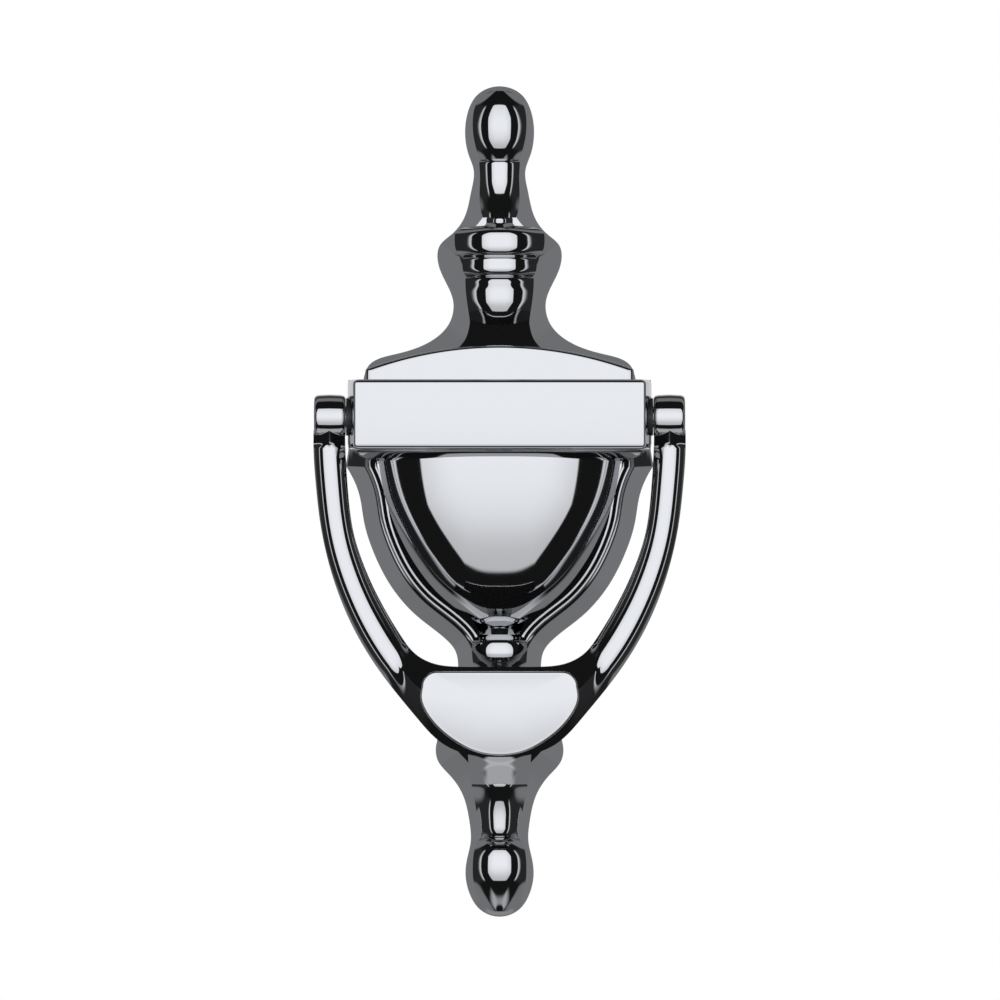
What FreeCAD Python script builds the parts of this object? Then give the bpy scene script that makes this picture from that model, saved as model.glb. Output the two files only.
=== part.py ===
import FreeCAD, Part
import math
import os
import Sketcher
from FreeCAD import Matrix, Placement, Rotation, Vector

# Urn-pattern door knocker, in millimetres.
# The origin is on the door's outer face, midway between the two fixing studs.
# +Z is up, +X is to the viewer's right and the front faces -Y, so "depth" is the distance
# that a point stands out from the door, towards -Y.

doc = FreeCAD.newDocument("door_knocker")

# ---------------------------------------------------------------- driving dimensions

SIZES = {
    # backplate casting
    "plate_length": 195.0,
    "edge_depth": 1.4,
    "flange_depth": 4.6,
    "bevel_width": 3.0,
    "turning_axis_depth": 3.4,
    "bowl_flatness": 0.36,
    "bar_half_width": 35.5,
    "bar_face_half_width": 34.0,
    "bar_low": 12.3,
    "bar_high": 28.5,
    "bar_depth": 23.4,
    "bar_crown": 0.6,
    "bar_rounding": 1.1,
    "lid_half_width": 29.6,
    "lid_rise": 7.6,
    "lid_depth": 17.0,
    "lid_rounding": 1.2,
    "boss_radius": 7.0,
    "boss_depth": 9.0,
    "core_wall": 3.2,
    "core_half_width": 22.0,
    "core_low": 2.0,
    "core_foot": -20.0,
    "core_shoulder": 16.4,
    "core_shoulder_height": -13.4,
    "bowl_sink": 0.6,
    "lid_sink": 1.0,
    # pivots
    "pivot_depth": 12.5,
    "pivot_height": 19.8,
    "spacer_radius": 4.4,
    "spacer_face": 35.1,
    "pivot_washer_thickness": 0.8,
    "eye_inner": 36.0,
    "eye_outer": 43.4,
    "eye_radius": 5.1,
    "eye_bore_radius": 2.55,
    "counterbore_radius": 3.6,
    "counterbore_depth": 2.0,
    "shoulder_radius": 2.5,
    "screw_head_radius": 3.4,
    "screw_head_thickness": 1.7,
    "screw_thread_radius": 1.98,
    "screw_thread_length": 9.0,
    "screw_slot_width": 1.0,
    "screw_slot_depth": 0.8,
    # knocker
    "arm_back_depth": 8.0,
    "arm_side_depth": 5.0,
    "arm_bevel_depth": 2.6,
    "arm_ridge_depth": 1.4,
    "arm_bevel_inset": 1.7,
    "arm_ridge_inset": 2.9,
    "arm_lean": 0.10,
    "pad_front_depth": 29.0,
    "pad_base_depth": 18.1,
    "anvil_height": 11.9,
    "pad_rounding": 1.6,
    "anvil_radius": 5.0,
    "anvil_back_depth": 13.1,
    # strike button
    "button_height": -48.0,
    "button_radius": 4.6,
    "button_front_depth": 13.0,
    "button_shank_radius": 1.98,
    "button_shank_length": 2.8,
    # door fixings
    "stud_spacing": 100.0,
    "stud_radius": 2.5,
    "stud_thread_radius": 2.05,
    "stud_in_plate": 5.4,
    "door_thickness": 44.0,
    "stud_washer_radius": 7.5,
    "stud_washer_bore": 2.7,
    "stud_washer_thickness": 1.2,
    "nut_across_flats": 8.0,
    "nut_hex_depth": 4.2,
    "nut_dome_radius": 3.7,
    "nut_bore_depth": 6.0,
    "thread_play": 0.02,
    "fit_gap": 0.1,
    "tool_overrun": 1.0,
}

sheet = doc.addObject("Spreadsheet::Sheet", "Sizes")
for row, (alias, value) in enumerate(SIZES.items(), 1):
    sheet.set(f"A{row}", alias)
    sheet.set(f"B{row}", str(value))
    sheet.setAlias(f"B{row}", alias)
doc.recompute()


def size(alias):
    """A driving dimension, read from the sheet."""
    return float(sheet.get(alias))


def bind(thing, **expressions):
    """Bind properties of an object to the sheet; a double underscore stands for a dot."""
    for name, expression in expressions.items():
        thing.setExpression(name.replace("__", "."), expression)


# ---------------------------------------------------------------- outlines

ACROSS = Vector(1, 0, 0)
UP = Vector(0, 0, 1)


def front_point(x, z, depth=0.0):
    """A point given by its place on the front view and its depth off the door."""
    return Vector(x, -depth, z)


def curve_through(points):
    """A smooth curve through points."""
    curve = Part.BSplineCurve()
    curve.interpolate(Points=points)
    return curve.toShape()


def inset_points(points, distance):
    """Points of a clockwise path moved to its inner side, square to the line through their
    neighbours; the two ends move level, along X."""
    moved = []
    for index, point in enumerate(points):
        before = points[max(index - 1, 0)]
        after = points[min(index + 1, len(points) - 1)]
        along = (after - before).normalize()
        inward = Vector(along.z, 0, -along.x)
        if before is point or after is point:
            inward = Vector(math.copysign(1.0, inward.x), 0, 0)
        moved.append(point + inward * distance)
    return moved


def both_halves(right_half):
    """The whole symmetrical line from the points of its right half, one end at x = 0."""
    points = [front_point(x, z) for x, z in right_half]
    left = [Vector(-point.x, point.y, point.z) for point in points]
    if right_half[0][0] == 0:
        return left[:0:-1] + points
    return points + left[-2::-1]


def closed_wire(edges):
    """A closed wire from edges that meet end to end, in any order."""
    return Part.Wire(Part.__sortEdges__(edges))


def with_mirror(edges):
    """Edges of the right half and their mirror images."""
    return edges + [edge.mirror(Vector(0, 0, 0), ACROSS) for edge in edges]


def ruled_solid(lower_wire, upper_wire):
    """The solid between two outlines at different depths."""
    return Part.makeLoft([lower_wire, upper_wire], True, True)


def at_depth(wire, depth):
    """A wire moved out from the door."""
    wire.translate(Vector(0, -depth, 0))
    return wire


def straight_solid(wire, depth):
    """The solid over an outline, as deep as is given."""
    return Part.Face(wire).extrude(Vector(0, -depth, 0))


# ---------------------------------------------------------------- backplate casting

TIP = size("plate_length") / 2

# The flange's right edge, from the top tip down to the crossbar: (half width, height).
UPPER_EDGE = [
    (0.0, TIP), (5.4, 95.3), (7.4, 91.6), (8.1, 86.8), (7.2, 81.2), (6.1, 77.9),
    (6.7, 72.7), (8.1, 67.1), (11.2, 62.8), (14.1, 60.0), (14.5, 56.4), (12.7, 51.6),
    (10.9, 47.0), (11.9, 41.7), (16.4, 37.5), (24.5, 34.6), (30.9, 31.7), (32.0, 28.5),
]
# The flange's right edge below the crossbar, down to the bottom tip.
LOWER_EDGE = [
    (35.6, 8.4), (34.3, 5.6), (32.8, 1.0), (31.9, -4.4), (29.6, -11.9), (25.8, -19.4),
    (19.4, -26.9), (13.0, -32.0), (10.3, -35.3), (9.7, -39.0), (10.0, -45.0),
    (12.4, -51.5), (14.7, -56.3), (14.6, -60.6), (11.6, -64.4), (8.6, -69.0),
    (7.1, -75.0), (6.8, -80.0), (7.6, -83.8), (8.0, -87.0), (7.0, -92.2), (4.6, -95.8),
    (0.0, -TIP),
]


def flange_wire(inset, depth):
    """The flange's outline, moved inwards, at a depth off the door."""
    upper = inset_points(both_halves(UPPER_EDGE), inset)
    lower = inset_points(both_halves(LOWER_EDGE), inset)
    corner_high = front_point(size("bar_half_width") - inset, size("bar_high"))
    corner_low = front_point(size("bar_half_width") - inset, size("bar_low"))
    sides = with_mirror([
        Part.makeLine(upper[-1], corner_high),
        Part.makeLine(corner_high, corner_low),
        Part.makeLine(corner_low, lower[0]),
    ])
    return at_depth(closed_wire([curve_through(upper), curve_through(lower)] + sides), depth)


def make_flange():
    """The flat plate with its square edge and the bevel all round it."""
    outline = flange_wire(0.0, 0.0)
    edge = straight_solid(outline, size("edge_depth"))
    bevel = ruled_solid(
        flange_wire(0.0, size("edge_depth")),
        flange_wire(size("bevel_width"), size("flange_depth")),
    )
    flange = doc.addObject("Part::Feature", "flange")
    flange.Shape = edge.fuse(bevel)
    return flange


def profile_sketch(name, rows):
    """A half profile on the XZ plane: rows of (radius, height), or of (radius, height, middle)
    where an arc through the middle point leads to that row's point."""
    sketch = doc.addObject("Sketcher::SketchObject", name)
    sketch.Placement = Placement(Vector(0, 0, 0), Rotation(Vector(1, 0, 0), 90))
    here = Vector(rows[0][0], rows[0][1], 0)
    start = here
    for radius, height, *middle in rows[1:]:
        there = Vector(radius, height, 0)
        if middle:
            bulge = Vector(middle[0][0], middle[0][1], 0)
            sketch.addGeometry(Part.Arc(here, bulge, there), False)
        else:
            sketch.addGeometry(Part.LineSegment(here, there), False)
        here = there
    sketch.addGeometry(Part.LineSegment(here, start), False)
    return sketch


def half_turned(name, rows):
    """A turned form, of which only the front half stands out of the flange."""
    turned = doc.addObject("Part::Revolution", name)
    turned.Source = profile_sketch(name + "_profile", rows)
    turned.Axis = (0, 0, 1)
    turned.Angle = -180.0
    turned.Solid = True
    bind(turned, Placement__Base__y="-Sizes.turning_axis_depth")
    return turned


def make_upper_finial():
    """Ovoid, neck, collar, shoulder ring, second ring, cup and stem, from the top down."""
    return half_turned("upper_finial", [
        (0.0, 96.2),
        (6.1, 88.4, (4.7, 94.2)),
        (4.1, 80.1, (5.6, 83.6)),
        (4.6, 68.6),
        (3.2, 66.9, (4.2, 67.3)),
        (3.1, 64.8),
        (9.7, 62.6, (6.8, 64.2)),
        (10.5, 61.6, (10.3, 62.3)),
        (10.4, 58.8),
        (8.2, 56.6, (9.6, 57.4)),
        (7.9, 53.3, (8.6, 54.9)),
        (8.1, 52.6),
        (6.7, 41.6, (8.0, 46.4)),
        (6.6, 34.0),
        (0.0, 34.0),
    ])


def make_lower_finial():
    """Knop, hidden stem, band, tapered neck and ovoid, from the top down."""
    return half_turned("lower_finial", [
        (0.0, -26.0),
        (4.6, -26.0),
        (4.4, -32.4),
        (4.8, -38.6, (6.2, -35.4)),
        (4.4, -39.6),
        (4.6, -57.0),
        (6.4, -66.6, (7.1, -61.4)),
        (4.5, -79.2, (5.0, -73.0)),
        (6.3, -86.8, (5.6, -82.4)),
        (0.0, -95.4, (4.8, -92.8)),
    ])


# The bowl's half width by height; its depth off the flange is this times its flatness.
BOWL_EDGE = [
    (28.6, 12.4), (28.2, 8.6), (26.4, 0.0), (23.5, -7.4), (19.6, -14.8), (14.2, -21.6),
    (8.6, -26.4), (0.0, -29.8),
]


def make_bowl():
    """The urn's bowl: a turned form pressed flat, front half only."""
    points = [Vector(x, 0, z) for x, z in BOWL_EDGE]
    edge = curve_through(points)
    top = Vector(0, 0, points[0].z)
    face = Part.Face(Part.Wire([
        edge,
        Part.makeLine(points[-1], top),
        Part.makeLine(top, points[0]),
    ]))
    turned = face.revolve(Vector(0, 0, 0), UP, -180)
    press = Matrix()
    press.A22 = size("bowl_flatness")
    bowl = doc.addObject("Part::Feature", "bowl")
    bowl.Shape = turned.transformGeometry(press)
    bowl.Placement.Base = front_point(0, 0, size("flange_depth") - size("bowl_sink"))
    return bowl


def make_bar():
    """The crossbar: drafted ends, a slightly crowned face and rounded edges."""
    half_back = size("bar_half_width")
    half_face = size("bar_face_half_width")
    side_depth = size("bar_depth") - size("bar_crown")
    low = size("bar_low")
    corner_left = front_point(-half_face, low, side_depth)
    corner_right = front_point(half_face, low, side_depth)
    outline = Part.Wire([
        Part.makeLine(front_point(-half_back, low), front_point(half_back, low)),
        Part.makeLine(front_point(half_back, low), corner_right),
        Part.Arc(corner_right, front_point(0, low, size("bar_depth")), corner_left).toShape(),
        Part.makeLine(corner_left, front_point(-half_back, low)),
    ])
    block = Part.Face(outline).extrude(UP * (size("bar_high") - low))
    front_edges = [
        edge for edge in block.Edges
        if all(vertex.Point.y < -side_depth + 0.01 for vertex in edge.Vertexes)
    ]
    bar = doc.addObject("Part::Feature", "bar")
    bar.Shape = block.makeFillet(size("bar_rounding"), front_edges)
    return bar


def make_lid():
    """The urn's lid: a segment with an arched top edge, standing on the crossbar."""
    base = size("bar_high") - size("lid_sink")
    half = size("lid_half_width")
    left = front_point(-half, base)
    right = front_point(half, base)
    crest = front_point(0, size("bar_high") + size("lid_rise"))
    segment = Part.Wire([Part.makeLine(left, right), Part.Arc(right, crest, left).toShape()])
    block = straight_solid(segment, size("lid_depth"))
    arched = [
        edge for edge in block.Edges
        if edge.BoundBox.ZLength > 1 and edge.BoundBox.YMin < -size("lid_depth") + 0.01
        and edge.BoundBox.YLength < 0.01
    ]
    lid = doc.addObject("Part::Feature", "lid")
    lid.Shape = block.makeFillet(size("lid_rounding"), arched)
    return lid


def cylinder(name, radius, height, direction):
    """A Part cylinder bound to the sheet, turned from +Z to the direction."""
    tool = doc.addObject("Part::Cylinder", name)
    tool.Placement = Placement(Vector(0, 0, 0), Rotation(UP, direction))
    bind(tool, Radius=radius, Height=height)
    return tool


def make_stud_boss():
    """The boss behind the knocker's pad: the strike button screws into its front."""
    boss = cylinder("lower_boss", "Sizes.boss_radius", "Sizes.boss_depth", Vector(0, -1, 0))
    bind(boss, Placement__Base__z="Sizes.button_height")
    return boss


def make_spacers():
    """The round faces at the bar's ends that the pivot washers lie against."""
    spacer = cylinder("pivot_spacers", "Sizes.spacer_radius", "2 * Sizes.spacer_face", ACROSS)
    bind(
        spacer,
        Placement__Base__x="-Sizes.spacer_face",
        Placement__Base__y="-Sizes.pivot_depth",
        Placement__Base__z="Sizes.pivot_height",
    )
    return spacer


def pivot_hole(side, name):
    """A tapped hole in one end of the crossbar; side is +1 on the right and -1 on the left."""
    hole = cylinder(
        name,
        "Sizes.screw_thread_radius + Sizes.thread_play",
        "Sizes.screw_thread_length + Sizes.tool_overrun",
        ACROSS * -side,
    )
    bind(
        hole,
        Placement__Base__x=f"{side} * (Sizes.spacer_face + Sizes.tool_overrun / 2)",
        Placement__Base__y="-Sizes.pivot_depth",
        Placement__Base__z="Sizes.pivot_height",
    )
    return hole


def stud_hole(side, name):
    """A tapped hole in the plate's back for one fixing stud."""
    hole = cylinder(
        name,
        "Sizes.stud_thread_radius + Sizes.thread_play",
        "Sizes.stud_in_plate + Sizes.fit_gap",
        Vector(0, -1, 0),
    )
    bind(hole, Placement__Base__z=f"{side} * Sizes.stud_spacing / 2")
    return hole


def button_hole():
    """The hole in the lower boss for the strike button's shank."""
    hole = cylinder(
        "button_hole",
        "Sizes.button_shank_radius + Sizes.thread_play",
        "Sizes.button_shank_length + Sizes.fit_gap",
        Vector(0, 1, 0),
    )
    bind(hole, Placement__Base__y="-Sizes.boss_depth", Placement__Base__z="Sizes.button_height")
    return hole


def make_core():
    """The cored recess in the back, behind the crossbar and the bowl, which saves metal."""
    core = doc.addObject("Part::Feature", "back_core")
    half = size("core_half_width")
    top = front_point(0, size("bar_high") - size("core_wall"))
    corner_high = front_point(half, top.z)
    corner_low = front_point(half, size("core_low"))
    bottom = front_point(0, size("core_foot"))
    shoulder = front_point(size("core_shoulder"), size("core_shoulder_height"))
    edges = [
        Part.makeLine(top, corner_high),
        Part.makeLine(corner_high, corner_low),
        Part.Arc(corner_low, shoulder, bottom).toShape(),
    ]
    core.Shape = straight_solid(closed_wire(with_mirror(edges)), size("flange_depth"))
    return core


def fuse(name, shapes):
    joined = doc.addObject("Part::MultiFuse", name)
    joined.Shapes = shapes
    return joined


def cut(name, base, tool):
    result = doc.addObject("Part::Cut", name)
    result.Base = base
    result.Tool = tool
    return result


def make_backplate():
    """The whole plate casting, with its tapped holes and its cored back."""
    solid = fuse("backplate_solid", [
        make_flange(), make_upper_finial(), make_lower_finial(), make_bowl(), make_bar(),
        make_lid(), make_stud_boss(), make_spacers(),
    ])
    holes = fuse("backplate_holes", [
        pivot_hole(1, "pivot_hole_right"), pivot_hole(-1, "pivot_hole_left"),
        stud_hole(1, "stud_hole_upper"), stud_hole(-1, "stud_hole_lower"),
        button_hole(), make_core(),
    ])
    plate = cut("backplate_casting", solid, holes)
    plate.Label = "backplate"
    return plate


# ---------------------------------------------------------------- knocker casting

# The knocker's outer edge, from the right eye round to the bottom of the pad.
ARM_OUTER = [
    (43.4, 19.8), (43.5, 12.0), (43.0, 4.5), (41.9, -5.0), (38.9, -17.8), (34.2, -29.4),
    (27.4, -40.4), (19.2, -50.6), (13.4, -56.4), (7.2, -59.0), (0.0, -59.6),
]
# Its inner edge, from the right eye down to the pad's top edge.
ARM_INNER = [
    (36.1, 19.8), (36.05, 12.0), (35.6, 4.5), (34.7, -4.3), (32.2, -13.6), (28.3, -22.4),
    (23.8, -30.3), (20.2, -35.0), (16.4, -37.6), (12.4, -38.5), (0.0, -38.6),
]
# The pad's D-shaped face: its top corner, then its curved side.
PAD_TOP = -39.0
PAD_CORNER = 3.0
PAD_SIDE = [(17.8, PAD_TOP - PAD_CORNER), (14.6, -50.2), (8.6, -56.2), (0.0, -58.2)]


def arm_wire(inset, depth):
    """The knocker's outline, moved inwards from both edges, at a depth."""
    outer = inset_points(both_halves(ARM_OUTER), inset)
    inner = inset_points(both_halves(ARM_INNER)[::-1], inset)
    tops = with_mirror([Part.makeLine(inner[-1], outer[0])])
    return at_depth(closed_wire([curve_through(outer), curve_through(inner)] + tops), depth)


def make_arm_frame():
    """Both arms and the pad's base in one bevelled form that leans away from the door."""
    back = size("arm_back_depth")
    side = back + size("arm_side_depth")
    bevel = side + size("arm_bevel_depth")
    ridge = bevel + size("arm_ridge_depth")
    lower = straight_solid(arm_wire(0.0, back), size("arm_side_depth"))
    middle = ruled_solid(arm_wire(0.0, side), arm_wire(size("arm_bevel_inset"), bevel))
    upper = ruled_solid(
        arm_wire(size("arm_bevel_inset"), bevel), arm_wire(size("arm_ridge_inset"), ridge)
    )
    lean = Matrix()
    lean.A23 = size("arm_lean")
    lean.A24 = -size("arm_lean") * size("pivot_height")
    frame = doc.addObject("Part::Feature", "arm_frame")
    frame.Shape = lower.fuse([middle, upper]).transformGeometry(lean)
    return frame


def make_pad():
    """The striking pad's D-shaped face, standing proud of the arms."""
    side = both_halves(PAD_SIDE)
    corner_start = side[0] + Vector(-PAD_CORNER, 0, PAD_CORNER)
    round_off = PAD_CORNER * (1 - math.cos(math.radians(45)))
    corner_middle = side[0] + Vector(-round_off, 0, PAD_CORNER - round_off)
    rim = with_mirror([
        Part.makeLine(front_point(0, PAD_TOP), corner_start),
        Part.Arc(corner_start, corner_middle, side[0]).toShape(),
    ])
    base = size("pad_base_depth")
    wire = at_depth(closed_wire([curve_through(side)] + rim), base)
    block = straight_solid(wire, size("pad_front_depth") - base)
    front_rim = [edge for edge in block.Edges if edge.BoundBox.YMax < -size("pad_front_depth") + 0.01]
    pad = doc.addObject("Part::Feature", "pad")
    pad.Shape = block.makeFillet(size("pad_rounding"), front_rim)
    return pad


def make_eye(side, name):
    """The barrel at the top of one arm."""
    eye = cylinder(name, "Sizes.eye_radius", "Sizes.eye_outer - Sizes.eye_inner", ACROSS * side)
    bind(
        eye,
        Placement__Base__x=f"{side} * Sizes.eye_inner",
        Placement__Base__y="-Sizes.pivot_depth",
        Placement__Base__z="Sizes.pivot_height",
    )
    return eye


def make_anvil():
    """The flat striking face on the pad's back."""
    anvil = cylinder("anvil", "Sizes.anvil_radius", "Sizes.anvil_height", Vector(0, -1, 0))
    bind(anvil, Placement__Base__y="-Sizes.anvil_back_depth",
         Placement__Base__z="Sizes.button_height")
    return anvil


def eye_bore(side, name):
    """The running bore through one eye."""
    bore = cylinder(
        name, "Sizes.eye_bore_radius",
        "Sizes.eye_outer - Sizes.eye_inner + 2 * Sizes.tool_overrun", ACROSS * side,
    )
    bind(
        bore,
        Placement__Base__x=f"{side} * (Sizes.eye_inner - Sizes.tool_overrun)",
        Placement__Base__y="-Sizes.pivot_depth",
        Placement__Base__z="Sizes.pivot_height",
    )
    return bore


def eye_counterbore(side, name):
    """The recess in one eye's outer face for the screw's head."""
    recess = cylinder(
        name, "Sizes.counterbore_radius", "Sizes.counterbore_depth + Sizes.tool_overrun", ACROSS * side
    )
    bind(
        recess,
        Placement__Base__x=f"{side} * (Sizes.eye_outer - Sizes.counterbore_depth)",
        Placement__Base__y="-Sizes.pivot_depth",
        Placement__Base__z="Sizes.pivot_height",
    )
    return recess


def make_knocker():
    """The whole knocker casting."""
    solid = fuse("knocker_solid", [
        make_arm_frame(), make_pad(), make_anvil(),
        make_eye(1, "eye_right"), make_eye(-1, "eye_left"),
    ])
    bores = fuse("knocker_bores", [
        eye_bore(1, "bore_right"), eye_bore(-1, "bore_left"),
        eye_counterbore(1, "counterbore_right"), eye_counterbore(-1, "counterbore_left"),
    ])
    knocker = cut("knocker_casting", solid, bores)
    knocker.Label = "knocker_arm"
    return knocker


# ---------------------------------------------------------------- turned small parts

def origin_plane(body, role):
    """One of a body's own origin planes or axes, by its role."""
    return next(feature for feature in body.Origin.OriginFeatures if feature.Role == role)


def turned_body(name, steps, bore=None):
    """A PartDesign body turned about its own Z axis: steps of (radius, end height), which are
    expressions on the sheet, and an optional bore radius all the way through."""
    body = doc.addObject("PartDesign::Body", name)
    sketch = body.newObject("Sketcher::SketchObject", name + "_section")
    sketch.AttachmentSupport = [(origin_plane(body, "XZ_Plane"), "")]
    sketch.MapMode = "FlatFace"
    doc.recompute()
    inner = 1.0 if bore else 0.0
    corners = [(inner, 0.0)]
    for number, _step in enumerate(steps):
        wide = 3.0 + number % 2
        corners.append((wide, float(number)))
        corners.append((wide, number + 1.0))
    corners.append((inner, float(len(steps))))
    count = len(corners)
    for index, (x, y) in enumerate(corners):
        nx, ny = corners[(index + 1) % count]
        sketch.addGeometry(Part.LineSegment(Vector(x, y, 0), Vector(nx, ny, 0)), False)
    for index in range(count):
        sketch.addConstraint(Sketcher.Constraint("Coincident", index, 2, (index + 1) % count, 1))
        level = "Horizontal" if index % 2 == 0 else "Vertical"
        sketch.addConstraint(Sketcher.Constraint(level, index))
    sketch.addConstraint(Sketcher.Constraint("DistanceY", -1, 1, 0, 1, 0.0))
    bound = sketch.addConstraint(Sketcher.Constraint("DistanceX", -1, 1, 0, 1, inner))
    if bore:
        sketch.setExpression(f"Constraints[{bound}]", bore)
    for number, (radius, end) in enumerate(steps):
        side = 1 + 2 * number
        wide = sketch.addConstraint(
            Sketcher.Constraint("DistanceX", -1, 1, side, 1, corners[side][0]))
        sketch.setExpression(f"Constraints[{wide}]", radius)
        high = sketch.addConstraint(Sketcher.Constraint("DistanceY", -1, 1, side, 2, number + 1.0))
        sketch.setExpression(f"Constraints[{high}]", end)
    turning = body.newObject("PartDesign::Revolution", name + "_turning")
    turning.Profile = sketch
    turning.ReferenceAxis = (sketch, ["V_Axis"])
    turning.Angle = 360.0
    body.Tip = turning
    doc.recompute()
    return body


def make_pivot_screw(side, label):
    """A slotted shoulder screw: head, shoulder for the eye, thread in the bar's end."""
    shoulder_end = ("(Sizes.eye_outer - Sizes.counterbore_depth + Sizes.screw_head_thickness"
                    " - Sizes.spacer_face)")
    body = turned_body(label + "_body", [
        ("Sizes.screw_head_radius", "Sizes.screw_head_thickness"),
        ("Sizes.shoulder_radius", shoulder_end),
        ("Sizes.screw_thread_radius", f"{shoulder_end} + Sizes.screw_thread_length"),
    ])
    slot = doc.addObject("Part::Box", label + "_slot")
    bind(
        slot,
        Length="Sizes.screw_slot_width",
        Width="2 * (Sizes.screw_head_radius + Sizes.tool_overrun)",
        Height="Sizes.screw_slot_depth + Sizes.tool_overrun",
        Placement__Base__x="-Sizes.screw_slot_width / 2",
        Placement__Base__y="-(Sizes.screw_head_radius + Sizes.tool_overrun)",
        Placement__Base__z="-Sizes.tool_overrun",
    )
    screw = cut(label + "_slotted", body, slot)
    screw.Placement.Rotation = Rotation(UP, ACROSS * -side)
    bind(
        screw,
        Placement__Base__x=(f"{side} * (Sizes.eye_outer - Sizes.counterbore_depth"
                            " + Sizes.screw_head_thickness)"),
        Placement__Base__y="-Sizes.pivot_depth",
        Placement__Base__z="Sizes.pivot_height",
    )
    screw.Label = label
    return screw


def make_pivot_washer(side, label):
    """A thin washer between the bar's end and the eye, on the screw's shoulder."""
    washer = turned_body(
        label + "_body",
        [("Sizes.spacer_radius", "Sizes.pivot_washer_thickness")],
        bore="Sizes.eye_bore_radius",
    )
    washer.Placement.Rotation = Rotation(UP, ACROSS * side)
    bind(
        washer,
        Placement__Base__x=f"{side} * Sizes.spacer_face",
        Placement__Base__y="-Sizes.pivot_depth",
        Placement__Base__z="Sizes.pivot_height",
    )
    washer.Label = label
    return washer


def make_strike_button():
    """The button that the pad strikes: a shank in the boss and a round head on it."""
    button = turned_body("strike_button_body", [
        ("Sizes.button_shank_radius", "Sizes.button_shank_length"),
        ("Sizes.button_radius",
         "Sizes.button_shank_length + Sizes.button_front_depth - Sizes.boss_depth"),
    ])
    button.Placement.Rotation = Rotation(UP, Vector(0, -1, 0))
    bind(
        button,
        Placement__Base__y="-(Sizes.boss_depth - Sizes.button_shank_length)",
        Placement__Base__z="Sizes.button_height",
    )
    button.Label = "strike_button"
    return button


def make_stud(side, label):
    """A stud with a plain shank through the door and a thread at each end, for the plate and
    for its dome nut."""
    stud = turned_body(label + "_body", [
        ("Sizes.stud_thread_radius", "Sizes.stud_in_plate"),
        ("Sizes.stud_radius", "Sizes.stud_in_plate + Sizes.door_thickness"),
        ("Sizes.stud_thread_radius",
         "Sizes.stud_in_plate + Sizes.door_thickness + Sizes.stud_washer_thickness"
         " + Sizes.nut_bore_depth - Sizes.fit_gap"),
    ])
    stud.Placement.Rotation = Rotation(UP, Vector(0, 1, 0))
    bind(stud, Placement__Base__y="-Sizes.stud_in_plate",
         Placement__Base__z=f"{side} * Sizes.stud_spacing / 2")
    stud.Label = label
    return stud


def make_stud_washer(side, label):
    """A plain washer on the door's inner face."""
    washer = turned_body(
        label + "_body",
        [("Sizes.stud_washer_radius", "Sizes.stud_washer_thickness")],
        bore="Sizes.stud_washer_bore",
    )
    washer.Placement.Rotation = Rotation(UP, Vector(0, 1, 0))
    bind(washer, Placement__Base__y="Sizes.door_thickness",
         Placement__Base__z=f"{side} * Sizes.stud_spacing / 2")
    washer.Label = label
    return washer


def make_dome_nut(side, label):
    """A hexagonal nut closed by a dome."""
    hexagon = doc.addObject("Part::Prism", label + "_hexagon")
    hexagon.Polygon = 6
    bind(hexagon, Circumradius="Sizes.nut_across_flats / 2 / cos(30 deg)",
         Height="Sizes.nut_hex_depth")
    dome = doc.addObject("Part::Sphere", label + "_dome")
    dome.Angle1 = 0
    bind(dome, Radius="Sizes.nut_dome_radius", Placement__Base__z="Sizes.nut_hex_depth")
    bore = cylinder(
        label + "_bore", "Sizes.stud_thread_radius + Sizes.thread_play", "Sizes.nut_bore_depth", UP
    )
    nut = cut(label + "_nut", fuse(label + "_solid", [hexagon, dome]), bore)
    nut.Placement.Rotation = Rotation(UP, Vector(0, 1, 0))
    bind(nut, Placement__Base__y="Sizes.door_thickness + Sizes.stud_washer_thickness",
         Placement__Base__z=f"{side} * Sizes.stud_spacing / 2")
    nut.Label = label
    return nut


# ---------------------------------------------------------------- assembly

parts = [make_backplate(), make_knocker(), make_strike_button()]
for side, hand in ((1, "right"), (-1, "left")):
    parts.append(make_pivot_screw(side, "pivot_screw_" + hand))
    parts.append(make_pivot_washer(side, "pivot_washer_" + hand))
for side, level in ((1, "upper"), (-1, "lower")):
    parts.append(make_stud(side, "fixing_stud_" + level))
    parts.append(make_stud_washer(side, "stud_washer_" + level))
    parts.append(make_dome_nut(side, "dome_nut_" + level))
doc.recompute()

for thing in doc.Objects:
    if "Invalid" in thing.State or "Error" in thing.State:
        raise RuntimeError(f"{thing.Name} did not compute: {thing.State}")
os.makedirs("parts", exist_ok=True)
for part in parts:
    shape = part.Shape
    if shape.isNull() or not shape.isValid() or len(shape.Solids) != 1:
        raise RuntimeError(f"{part.Label} is not one valid solid")
for part in parts:
    part.Shape.exportStep(f"parts/{part.Label}.step")
    print(part.Label, round(part.Shape.Volume / 1000, 2), "cm3")
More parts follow.
